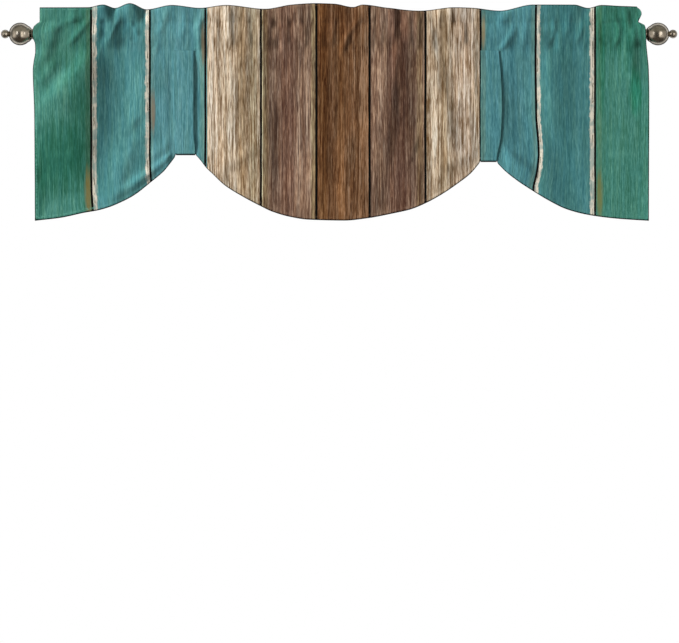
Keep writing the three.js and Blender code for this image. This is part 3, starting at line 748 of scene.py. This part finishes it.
# Where the cloth draws its print sideways: place, reach, and rows of height and shift
DRIFTS = [
    (432, 44, [(60, 0.5), (-40, -0.5), (-170, 1.0), (-262, 6.5), (-290, 4.5), (-335, -5.5)]),
    (-545, 60, [(-300, 0), (-345, 1), (-390, 4)]),
    (-416, 50, [(-260, 0), (-300, 1), (-345, 4)]),
]
# The rim of each cloth piece gets a dark line of painted shade, with a paler line of painted highlight
# inside it
RIM_SHADE_LINE = 2.3
RIM_SHADE_FADE = 1.3
RIM_SHADE_TINT = (0.09, 0.10, 0.10, 1)
# At the top edge and at the ends the painted shade line is thinner: slope and offset of the distance to
# it
TOP_RIM = (1.6, 0.6)
END_RIM = (1.5, 0.9)
STITCH_RIM = 20.0
RIM_HIGHLIGHT_LINE = (4.5, 7.0, 11.0)
# How pale that painted highlight line is on each plank: the first, the second, and all the others
RIM_HIGHLIGHT_SHARES = [0.7, 0.4] + [0.15] * (len(PLANKS) - 2)
PRINT_LEFT = LEFT_END - 40
PRINT_RIGHT = RIGHT_END + 40


def plank_colour(n, patches=TONE_AND_SHADE_PATCHES):
    """The printed planks, from the cloth's own flat coordinates, with painted shade and light in some
    patches and along the rims.
    """
    x, z = n.place_in("print")

    def scaled(wide, tall, offset):
        return n.combine(n.line(x, 1 / wide, offset), n.times(z, 1 / tall), offset)

    wobble = n.line(n.noise(scaled(900, 70, 3.0), 1.0), 2.0, -1.0)
    across = n.math("ADD", x, wobble)
    place = n.span(across, PRINT_LEFT, PRINT_RIGHT, smooth=False)

    def at(value):
        return (value - PRINT_LEFT) / (PRINT_RIGHT - PRINT_LEFT)

    starts = [PRINT_LEFT] + [row[0] for row in PLANKS[:-1]]

    def by_plank(colours):
        """A flat colour for each plank."""
        return n.ramp(place, [(at(start), colour) for start, colour in zip(starts, colours)], True)

    woods = [WOODS[row[2]] for row in PLANKS]
    shades = [by_plank([wood[k] for wood in woods]) for k in range(3)]
    tones = []
    for start, row in zip(starts, PLANKS):
        start = max(start, LEFT_END)
        end = min(row[0], RIGHT_END)
        for share, tone in zip((0.04, 0.5, 0.96), row[3]):
            tones.append((at(lerp(start, end, share)), grey(tone)))
    half = len(tones) // 2
    tone = n.mix(n.math("GREATER_THAN", place, (tones[half - 1][0] + tones[half][0]) / 2),
                 n.ramp(place, tones[:half]), n.ramp(place, tones[half:]))
    number = by_plank([grey(k * 0.37 % 1) for k in range(len(PLANKS))])
    apart = n.times(number, 90.0)

    contrast = by_plank([grey(wood[3]) for wood in woods])
    sway = n.noise(n.stretched(x, z, 70, 260, apart), 1.0)
    grain_x = n.line(sway, 3.5, x)

    def grain(wide, tall, seed, detail=2.0, roughness=0.5):
        vector = n.stretched(grain_x, z, wide, tall, n.math("ADD", apart, seed))
        return n.minus(n.noise(vector, detail, roughness), 0.5)

    value = n.times(grain(15, 300, 1.0, 1.0), 0.5)
    value = n.line(grain(4.0, 420, 2.0, 1.0), 0.9, value)
    value = n.times(value, contrast)
    streak = grain(3.0, 60, 3.0, 2.0, 0.6)
    value = n.line(streak, 0.95, value)
    strokes = n.times(grain(2.1, 17, 4.0, 2.0, 0.6), n.minus(2.1, contrast))
    value = n.line(strokes, 1.1, value)
    value = n.line(value, contrast, tone)
    lower = n.mix(n.span(value, 0.0, 0.5, smooth=False), shades[0], shades[1])
    colour = n.mix(n.span(value, 0.5, 1.0, smooth=False), lower, shades[2])
    pores = n.math("MAXIMUM", n.span(grain(1.6, 44, 9.0, 1.0), 0.08, 0.12),
                   n.span(grain(2.0, 130, 17.0, 1.0), 0.11, 0.15))
    colour = n.mix(n.times(n.times(pores, contrast), 0.7), colour, shades[0])
    hue = n.span(grain(7, 90, 12.0, 1.0), -0.2, 0.2)
    colour = n.mix(1.0, colour, n.mix(hue, WARM, COOL), "MULTIPLY")

    shifted = n.line(streak, 8.0, across)
    for band, half, tint in BANDS:
        away = n.math("ABSOLUTE", n.math("DIVIDE", n.minus(shifted, band), half))
        colour = n.mix(n.span(away, 0.3, 1.2, 1.0, 0.0), colour, tint + (1,), "MULTIPLY")

    def reach_from(px, pz, wide, tall):
        dx = n.math("DIVIDE", n.minus(x, px), wide)
        dz = n.math("DIVIDE", n.minus(z, pz), tall)
        square = n.line(dx, dx, n.times(dz, dz))
        return n.line(streak, 1.5, square)

    # Each patch tints the wood, and in places paints the shade or light of a fold; the reverse gets
    # none
    for px, pz, wide, tall, tint in patches:
        near = n.span(reach_from(px, pz, wide, tall), 0.0, 1.2, 1.0, 0.0)
        tint = (*tint, 1) if isinstance(tint, tuple) else grey(tint)
        colour = n.mix(near, colour, tint, "MULTIPLY")
    for px, pz, wide, tall, stain in STAINS:
        colour = n.mix(n.span(reach_from(px, pz, wide, tall), -0.1, 1.3, 0.75, 0.0), colour, stain)

    ragged = n.minus(n.noise(scaled(6.0, 16, 21.0), 4.0, 0.7), 0.5)
    lines = n.noise(scaled(2.2, 46, 25.0), 2.0, 0.6)
    slow = n.noise(scaled(30.0, 34, 29.0), 2.0, 0.6)
    for gap, side, wide, rough, cream, crack in WORN_EDGES:
        away = n.times(n.minus(across, gap), side)
        limit = n.line(ragged, rough * 2, wide)
        inside = n.span(n.minus(limit, away), -1.2, 2.0)
        inside = n.times(inside, n.math("GREATER_THAN", away, 0.0))
        low = lerp(0.3, 0.62, cream)
        worn = n.mix(n.span(lines, low, low + 0.12), CREAM, GREY_CREAM)
        worn = n.mix(n.span(slow, 0.48, 0.60, 0.0, 0.8), worn, n.mix(0.6, worn, shades[1]))
        to_crack = n.line(ragged, 6.0, n.minus(away, crack))
        cracked = n.span(n.math("ABSOLUTE", to_crack), 0.5, 1.3, 1.0, 0.0)
        cracked = n.times(cracked, n.span(slow, 0.44, 0.5, 0.8, 0.0))
        worn = n.mix(cracked, worn, CRACK)
        colour = n.mix(inside, colour, worn)

    nearest = None
    for gap, half_width, _, _ in PLANKS[:-1]:
        away = n.math("DIVIDE", n.math("ABSOLUTE", n.minus(across, gap)), half_width)
        nearest = away if nearest is None else n.math("MINIMUM", nearest, away)
    colour = n.mix(n.span(nearest, 0.85, 1.15), GAP_DARK, colour)

    # Painted shade: a dark line along each rim, and inside it a pale line of painted highlight
    from_rim = n.place_in("rim")[0]
    start, middle, end = RIM_HIGHLIGHT_LINE
    pale = n.times(n.span(from_rim, start, middle), n.span(from_rim, middle, end, 1.0, 0.0))
    pale = n.times(pale, n.span(n.noise(scaled(5, 5, 33.0), 2.0), 0.42, 0.6))
    pale = n.times(pale, by_plank([grey(share) for share in RIM_HIGHLIGHT_SHARES]))
    colour = n.mix(pale, colour, shades[2])
    dark = n.span(from_rim, RIM_SHADE_LINE, RIM_SHADE_LINE + RIM_SHADE_FADE, 1.0, 0.0)
    return n.mix(dark, colour, RIM_SHADE_TINT, "MULTIPLY"), x, z


THREAD_PITCH = 0.9


def weave(n, x, z, strength):
    """Fine plain weave with uneven threads."""
    step = 2 * math.pi / THREAD_PITCH
    warp = n.math("SINE", n.times(x, step))
    weft = n.math("SINE", n.times(z, step))
    slub = n.noise(n.stretched(x, z, 2.5, 0.625, 5.0), 2.0)
    return n.bump(n.math("ADD", n.times(warp, weft), slub), strength, 0.00012)


def cloth_material(name, reverse):
    n = Nodes(name)
    colour, x, z = plank_colour(n, [] if reverse else TONE_AND_SHADE_PATCHES)
    if reverse:
        colour = n.mix(0.55, colour, REVERSE)
    return n.set(Base_Color=colour, Roughness=0.7, Specular_IOR_Level=0.12, Sheen_Weight=0.02,
                 Sheen_Roughness=0.4, Normal=weave(n, x, z, 0.2))


def metal_material():
    n = Nodes("aged_nickel")
    where = n.node("TexCoord").outputs["Object"]
    cloudy = n.noise(where, 4.0, 0.6, 60.0)
    fine = n.noise(where, 3.0, 0.6, 700.0)
    colour = n.mix(n.span(cloudy, 0.35, 0.7), rgb(148, 141, 129), rgb(190, 182, 169))
    rough = n.span(fine, 0.3, 0.7, 0.16, 0.26)
    return n.set(Base_Color=colour, Metallic=1.0, Roughness=rough, Normal=n.bump(fine, 0.08, 0.0001))


def thread_material():
    n = Nodes("thread")
    colour, x, z = plank_colour(n)
    where = n.node("TexCoord").outputs["Object"]
    twist = n.noise(where, 2.0, 0.5, 900.0)
    return n.set(Base_Color=colour, Roughness=0.6, Normal=n.bump(twist, 0.3, 0.0001))


FACE = cloth_material("plank_print_face", False)
BACK = cloth_material("plank_print_reverse", True)
NICKEL = metal_material()
THREAD = thread_material()

# Valance
places = columns()
cloth_points, cloth_prints, seam_rows = cloth_grid(places)
for place, reach, rows in DRIFTS:
    rows = sorted(rows)
    near = bell(places - place, reach)[:, None]
    cloth_prints[..., 0] -= near * curve_through(rows)(cloth_points[..., 2])
# Distances to the cloth's edges, along which the painted shade line and painted highlight line are
# drawn
cloth_heights = cloth_points[..., 2]
from_top = top_edge(places)[:, None] - cloth_heights
cloth_rims = np.minimum(cloth_heights - lower_edge(places)[:, None], TOP_RIM[0] * from_top + TOP_RIM[1])
cloth_rims = np.minimum(cloth_rims, END_RIM[0] * from_end(places)[:, None] + END_RIM[1])
valance = sheet_object("valance_cloth", cloth_points, cloth_prints, cloth_rims, CLOTH, [FACE, BACK])
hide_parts("valance")

# Ties
TIE_CLEAR = SOLID_CLOTH / 2 + GAP + SOLID_STRAP / 2
TIE_BACK_CLEAR = TIE_CLEAR + 0.6
TIE_TOP = POCKET_SEAM - 1.5
# The run behind: clear of the flap, up along the front layer, then over the pocket
FLAP_CLEAR = 16
TIE_PANEL_TOP = -46
TIE_POCKET_HEIGHTS = (POCKET_EDGE - 1.5, POCKET_SEAM, -31, -27.0)
TIE_SHARES = np.array([0, 0.02, 0.06, 0.15, 0.3, 0.5, 0.7, 0.85, 0.94, 0.98, 1])
PRINT_SHIFT = {"tie_left": (0.0, 190.0), "tie_right": (1.8, 330.0)}


def tie_grid(tie):
    middle = np.array((tie.left + tie.right) / 2)
    cloth = float(turn_radius(middle))
    turn_height = float(lower_edge(middle)) + SOLID_CLOTH / 2 + cloth
    radius = cloth + TIE_CLEAR

    def front(z):
        return float(front_depth(middle, z))

    path = [(front(z) + TIE_CLEAR, z) for z in np.linspace(TIE_TOP, turn_height, 60)]
    centre = front(turn_height) - cloth
    for angle in np.linspace(0, np.pi, 14)[1:-1]:
        path.append((centre + radius * np.cos(angle), turn_height - radius * np.sin(angle)))
    top = float(flap_top(middle))
    for share in np.linspace(0, 1, 20):
        z = lerp(turn_height, top + 1, share)
        path.append((front(z) - float(flap_behind(middle, share)) - TIE_CLEAR, z))
    path += [(front(z) - TIE_CLEAR, z) for z in np.linspace(top + FLAP_CLEAR, TIE_PANEL_TOP, 12)]
    for z in TIE_POCKET_HEIGHTS:
        path.append((-float(back_depth(middle, max(z, POCKET_SEAM))) - TIE_BACK_CLEAR, z))
    path = np.array(path)
    down = np.clip((TIE_TOP - path[:, 1]) / (TIE_TOP - turn_height), 0, 1)
    foot = smooth_step((down - FOOT_START) / (1 - FOOT_START))
    left = lerp(tie.left, tie.foot_left, foot)
    right = lerp(tie.right, tie.foot_right, foot) + tie.bow * np.sin(np.pi * down)
    xs = lerp(left[None], right[None], TIE_SHARES[:, None])
    depth = np.broadcast_to(path[None, :, 0], xs.shape)
    height = np.broadcast_to(path[None, :, 1], xs.shape)
    arc = np.concatenate(([0], np.cumsum(np.hypot(*np.diff(path, axis=0).T))))
    width = float(np.sum((right - left)[1:] * np.diff(arc)) / arc[-1])
    move_x, move_z = PRINT_SHIFT[tie.name]
    prints = np.stack((xs + move_x, np.broadcast_to(TIE_TOP - arc[None] + move_z, xs.shape)), -1)
    return np.stack((xs, -depth, height), -1), prints, (width, float(arc[-1]))


straps = []
for tie in TIES:
    points, prints, flat = tie_grid(tie)
    # The strap's painted shade line and painted highlight line run along its lowest edge
    rims = points[..., 2] - points[..., 2].min()
    strap = sheet_object(tie.name + "_strap", points, prints, rims, STRAP, [FACE])
    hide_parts(tie.name)
    straps.append((strap, flat))


# Finials, turned
def arc_points(centre, radius, start, end, steps):
    angles = np.radians(np.linspace(start, end, steps + 1))
    return [(radius * math.sin(a), centre + radius * math.cos(a)) for a in angles]


def rounded_corner(before, at, after, radius, steps=4):
    a, b, c = (np.array(p, float) for p in (before, at, after))
    u, v = unit(a - b), unit(c - b)
    start, end = b + u * radius, b + v * radius
    shares = np.linspace(0, 1, steps + 1)[:, None]
    points = (1 - shares) ** 2 * start + 2 * shares * (1 - shares) * b + shares**2 * end
    return [tuple(point) for point in points]


def finial_profile():
    """Radius and height from the tip over the bead, ball and ringed neck into the socket."""
    neck = NECK_RADIUS
    socket = ROD_RADIUS + GAP
    rings = [
        (17.2, -18.4), (17.2, -19.6), (neck + 1.4, -24.4), (neck - 0.9, -25.4), (neck - 0.9, -26.4),
        (neck, -27.2), (neck, -31.2), (neck - 1.0, -32), (neck - 1.0, -32.8), (neck, -33.6),
        (neck, -NECK_END + 0.8), (neck - 0.8, -NECK_END), (socket, -NECK_END),
    ]
    profile = [(0.0, BEAD_SPACING + BEAD_RADIUS)]
    profile += arc_points(BEAD_SPACING, BEAD_RADIUS, 12, 144, 22)
    profile += arc_points(0, BALL_RADIUS, 15, 132, 44)
    line = [profile[-1]] + rings
    for before, at, after in zip(line, line[1:], line[2:]):
        size = 0.3 * min(math.dist(before, at), math.dist(at, after))
        profile += rounded_corner(before, at, after, size)
    inside = -NECK_END + SOCKET_DEPTH
    return profile + [(socket, -NECK_END), (socket, inside), (0.0, inside)]


AROUND = 72
SHARP_ANGLE = math.radians(50)


def turned(name, profile, side):
    """A turned piece about the rod's axis, with its tip outwards."""
    vertices, faces, rings = [], [], []
    for radius, height in profile:
        x = side * (BALL_OFFSET + height)
        if radius == 0:
            rings.append([len(vertices)])
            vertices.append((x, 0, 0))
            continue
        rings.append(list(range(len(vertices), len(vertices) + AROUND)))
        for k in range(AROUND):
            angle = 2 * math.pi * k / AROUND
            vertices.append((x, radius * math.cos(angle), radius * math.sin(angle)))
    for a, b in zip(rings, rings[1:]):
        for k in range(AROUND):
            m = (k + 1) % AROUND
            face = [a[k % len(a)], a[m % len(a)], b[m % len(b)], b[k % len(b)]]
            face = list(dict.fromkeys(face))
            faces.append(face if side > 0 else face[::-1])
    made = make_object(name, vertices, faces, [NICKEL])
    made.data.set_sharp_from_angle(angle=SHARP_ANGLE)
    return made


for side, name in ((-1, "finial_left"), (1, "finial_right")):
    finial = turned(name + "_turned", finial_profile(), side)
    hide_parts(name)

rod = bpy.data.objects["rod"]
rod.data.materials.clear()
rod.data.materials.append(NICKEL)

# Stitches: each one a short raised thread that sinks into the cloth at both ends
STITCH = 2.7
STITCH_STEP = 3.6
THREAD_RADIUS = 0.28
# Rings along a stitch: place, size and rise
STITCH_RINGS = [(-0.5, 0.35, -0.28), (-0.28, 0.95, 0.05), (0.28, 0.95, 0.05), (0.5, 0.35, -0.28)]
STITCH_SIDES = 5


def stitch_run(line, outward, prints):
    """Stitches along a line of surface points: their vertices, faces and print coordinates."""
    arc = np.concatenate(([0], np.cumsum(np.linalg.norm(np.diff(line, axis=0), axis=1))))
    middles = np.arange(STITCH_STEP, arc[-1] - STITCH_STEP, STITCH_STEP)

    def at(where, values):
        return np.stack([np.interp(where, arc, column) for column in values.T], -1)

    centre = at(middles, line)
    way = unit(at(middles + 1, line) - at(middles - 1, line))
    up = unit(at(middles, outward))
    side = unit(np.cross(way, up))
    up = np.cross(side, way)
    vertices, faces = [], []
    printed = np.repeat(at(middles, prints), len(STITCH_RINGS) * STITCH_SIDES, 0)
    for c, w, u, s in zip(centre, way, up, side):
        first = len(vertices)
        for share, size, rise in STITCH_RINGS:
            for k in range(STITCH_SIDES):
                angle = 2 * math.pi * k / STITCH_SIDES
                upwards = rise + size * THREAD_RADIUS * math.cos(angle)
                sideways = size * THREAD_RADIUS * math.sin(angle)
                vertices.append(c + w * share * STITCH + u * upwards + s * sideways)
        for r in range(len(STITCH_RINGS) - 1):
            for k in range(STITCH_SIDES):
                m = (k + 1) % STITCH_SIDES
                a, b = first + r * STITCH_SIDES, first + (r + 1) * STITCH_SIDES
                faces.append([a + k, b + k, b + m, a + m])
        last = first + (len(STITCH_RINGS) - 1) * STITCH_SIDES
        faces.append([first + k for k in range(STITCH_SIDES)])
        faces.append([last + k for k in reversed(range(STITCH_SIDES))])
    return vertices, faces, printed


def stitches(name, runs):
    vertices, faces, prints = [], [], []
    for run in runs:
        more, rings, printed = stitch_run(*run)
        faces += [[i + len(vertices) for i in face] for face in rings]
        vertices += more
        prints.append(printed)
    maps = {"print": np.concatenate(prints), "rim": np.full((len(vertices), 2), STITCH_RIM)}
    made = make_object(name, vertices, faces, [THREAD], maps)
    return made


outward = grid_normals(cloth_points)
skin = CLOTH / 2 + 0.05


def run_over(part, side):
    return cloth_points[part] + side * skin * outward[part], side * outward[part], cloth_prints[part]


def row_run(row, side=1):
    return run_over((slice(2, -2), row), side)


def column_run(place, rows, side=1):
    return run_over((int(np.argmin(np.abs(places - place))), rows), side)


BACK_SEAM_ROW = 1
BACK_HEADER_ROW = len(BACK_POCKET) - 1
drop_rows = slice(seam_rows["pocket"] + 2, seam_rows["turn"])
sewn = [
    stitches("stitches_header", [row_run(seam_rows["header"]), row_run(BACK_HEADER_ROW)]),
    stitches("stitches_pocket", [row_run(seam_rows["pocket"]), row_run(BACK_SEAM_ROW)]),
    stitches("stitches_hem", [row_run(-2)] + [
        column_run(place, drop_rows, side)
        for place in (LEFT_END + SIDE_HEM, RIGHT_END - SIDE_HEM) for side in (1, -1)
    ]),
]

for strap, flat in straps:
    flat = tuple(round(size * MM, 3) for size in flat)


# Floor, light and background
bpy.ops.mesh.primitive_circle_add(vertices=96, radius=1.6, fill_type="NGON", location=(0, -0.4, -1.42))
floor = bpy.context.object
floor.name = "floor"
paint = Nodes("floor_paint").set(Base_Color=rgb(240, 240, 238), Roughness=0.9)
floor.data.materials.append(paint)
floor.visible_glossy = False


def lamp(name, kind, energy, direction):
    light = bpy.data.lights.new(name, kind)
    light.energy = energy
    made = add_object(name, light)
    made.rotation_mode = "QUATERNION"
    made.rotation_quaternion = direction.to_track_quat("-Z", "Y")
    return made


def softbox(name, place, aim, size, energy):
    made = lamp(name, "AREA", energy, Vector(aim) - Vector(place))
    made.location = place
    made.data.shape = "RECTANGLE"
    made.data.size, made.data.size_y = size
    return made


key = lamp("key", "SUN", 5.35, Vector((0.84, 0.42, -0.28)))
key.data.angle = math.radians(10)
softbox("left", (-2.4, -3.0, 0.5), (-0.3, 0, 0), (0.7, 1.8), 9)
softbox("right", (2.6, -3.0, 0.3), (0.3, 0, -0.1), (0.7, 1.8), 9)
back = softbox("back", (0.0, 2.6, 1.6), (0, 0, -0.2), (2.0, 1.2), 90)
# The finials don't mirror the sun or the back light, which would burn out their edges, nor the floor
key.visible_glossy = False
back.visible_glossy = False

# What the finials mirror: dim in front with a soft light to each side, grey above, dark below, and
# bright behind
FRONT = [
    (0.0, 0.35), (0.04, 1.1), (0.10, 1.0), (0.17, 0.40), (0.28, 0.16), (0.53, 0.12), (0.58, 0.5),
    (0.62, 2.5), (0.70, 2.1), (0.78, 1.1), (0.95, 0.7),
]
BEHIND = [(0.40, 0.0), (0.54, 0.14), (0.61, 0.3), (0.70, 1.25), (0.79, 1.0), (0.87, 0.08)]
WARM_LIGHT = (1.0, 0.93, 0.85)
ABOVE = (0.36, 0.345, 0.29, 1)
BELOW = (0.13, 0.11, 0.09, 1)
FILL = 0.2

world = bpy.data.worlds.new("studio")
bpy.context.scene.world = world
g = Graph(world)
direction = g.node("SeparateXYZ", g.node("TexCoord").outputs["Generated"])
side_x, side_y, side_z = (g.line(axis, 0.5, 0.5) for axis in direction.outputs)
front = g.ramp(side_x, [(place, (*(value * c for c in WARM_LIGHT), 1)) for place, value in FRONT])
front = g.mix(g.span(side_z, 0.58, 0.76), front, ABOVE)
front = g.mix(g.span(side_z, 0.16, 0.32, 1.0, 0.0), front, BELOW)
behind = g.ramp(side_y, [(place, grey(value)) for place, value in BEHIND])
mirrored = g.mix(g.span(side_y, 0.42, 0.56), front, behind)


def background(colour, strength):
    return g.node("Background", colour, strength).outputs[0]


ray = g.node("LightPath")
glossy, direct = ray.outputs["Is Glossy Ray"], ray.outputs["Is Camera Ray"]
lit = g.node("MixShader", glossy, background(grey(1), FILL), background(mirrored, 1.0))
seen = g.node("MixShader", direct, lit.outputs[0], background(grey(1), 1.0))
g.node("OutputWorld", seen.outputs[0])
